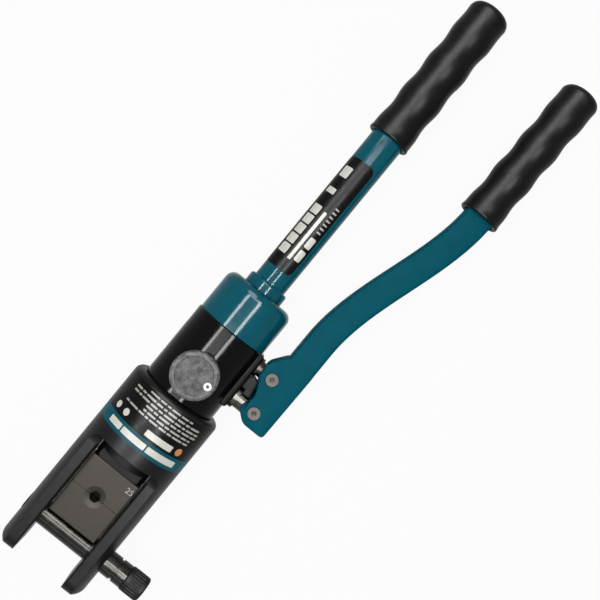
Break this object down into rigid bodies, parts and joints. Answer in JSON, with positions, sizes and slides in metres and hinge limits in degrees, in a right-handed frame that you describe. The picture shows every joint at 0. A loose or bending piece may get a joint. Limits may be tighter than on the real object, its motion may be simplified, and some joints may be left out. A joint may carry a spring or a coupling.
{
  "type": "hydraulic crimping tool",
  "caption": "Hand-pumped hydraulic crimping tool: fork head with split hexagon dies and a pull-out latch pin, round pump body, release knob, tube handle and pump lever.",
  "frame": {"origin": "centre of the closed hexagon crimping nest, on the ram's axis", "axes": "+Y along the ram's axis towards the fixed handle, +X towards the pump lever, +Z along the nest's axis, out of the face with the release knob"},
  "size_m": [0.1201, 0.4417, 0.0641],
  "materials": {
    "black_paint": "semi-gloss black enamel",
    "teal_paint": "semi-gloss teal enamel",
    "die_steel": "ground and blackened tool steel",
    "bright_steel": "turned steel",
    "dark_steel": "black oxide",
    "knob_grey": "cast grey",
    "grip_rubber": "soft sheen",
    "seal_rubber": "matt",
    "brass": "turned brass",
    "white_plastic": "matt",
    "black_plastic": "matt"
  },
  "bodies": {
    "frame": {"fork_head": "black_paint", "pump_body": "black_paint", "rear_cap": "teal_paint", "tube_ring": "teal_paint", "handle_tube": "teal_paint", "lower_die": "die_steel", "fulcrum_stud": "bright_steel", "plunger_gland": "bright_steel", "return_bolt": "bright_steel", "detent_ball": "bright_steel", "release_ball": "bright_steel", "detent_spring": "bright_steel", "return_spring": "bright_steel", "outlet_spring": "bright_steel", "inlet_spring": "bright_steel", "relief_spring": "bright_steel", "detent_screw": "dark_steel", "outlet_plug": "dark_steel", "handle_grip": "grip_rubber", "wiper_ring": "seal_rubber", "body_seal": "seal_rubber", "cap_seal": "seal_rubber", "plunger_seal": "seal_rubber", "oil_bladder": "seal_rubber", "inlet_seat": "brass", "relief_screw": "brass", "bladder_ferrule": "brass", "tube_plug": "black_plastic"},
    "ram": {"ram": "dark_steel", "die_holder": "dark_steel", "upper_die": "die_steel", "die_screw": "dark_steel", "ram_seal": "seal_rubber", "guide_ring": "black_plastic"},
    "plunger": {"plunger": "bright_steel"},
    "lever": {"lever": "teal_paint", "lever_grip": "grip_rubber", "fulcrum_pin": "bright_steel", "plunger_pin": "bright_steel", "pin_circlips": "dark_steel"},
    "release_knob": {"release_knob": "knob_grey", "release_spindle": "bright_steel", "spindle_ring": "seal_rubber", "knob_marker": "white_plastic"},
    "latch_pin": {"latch_pin": "bright_steel", "pull_knob": "dark_steel"},
    "outlet_ball": {"outlet_ball": "bright_steel"},
    "inlet_ball": {"inlet_ball": "bright_steel"},
    "relief_ball": {"relief_ball": "bright_steel"}
  },
  "joints": [
    {"name": "ram_slide", "type": "slide", "parent": "frame", "child": "ram", "axis": [0, 1, 0], "range_m": [0, 0.0128], "deforming": ["return_spring"]},
    {"name": "lever_swing", "type": "hinge", "parent": "frame", "child": "lever", "pos_m": [0.0426, 0.0996, 0], "axis": [0, 0, 1], "range_deg": [-35, 4]},
    {"name": "plunger_stroke", "type": "slide", "parent": "frame", "child": "plunger", "axis": [1, 0, 0], "range_m": [-0.0017, 0.014]},
    {"name": "release_turn", "type": "hinge", "parent": "frame", "child": "release_knob", "pos_m": [0, 0.0976, 0.026], "axis": [0, 0, 1], "range_deg": [0, 90]},
    {"name": "latch_pin_pull", "type": "slide", "parent": "frame", "child": "latch_pin", "axis": [1, 0, 0], "range_m": [0, 0.065]},
    {"name": "outlet_ball_lift", "type": "slide", "parent": "frame", "child": "outlet_ball", "axis": [-1, 0, 0], "range_m": [0, 0.001], "stiffness_N_per_m": 400, "deforming": ["outlet_spring"]},
    {"name": "inlet_ball_lift", "type": "slide", "parent": "frame", "child": "inlet_ball", "axis": [0, -1, 0], "range_m": [0, 0.001], "stiffness_N_per_m": 400, "deforming": ["inlet_spring"]},
    {"name": "relief_ball_lift", "type": "slide", "parent": "frame", "child": "relief_ball", "axis": [0, 1, 0], "range_m": [0, 0.0008], "stiffness_N_per_m": 400, "deforming": ["relief_spring"]}
  ],
  "couplings": [
    {"joint": "plunger_stroke", "follows": "lever_swing", "m_per_rad": -0.0227}
  ]
}
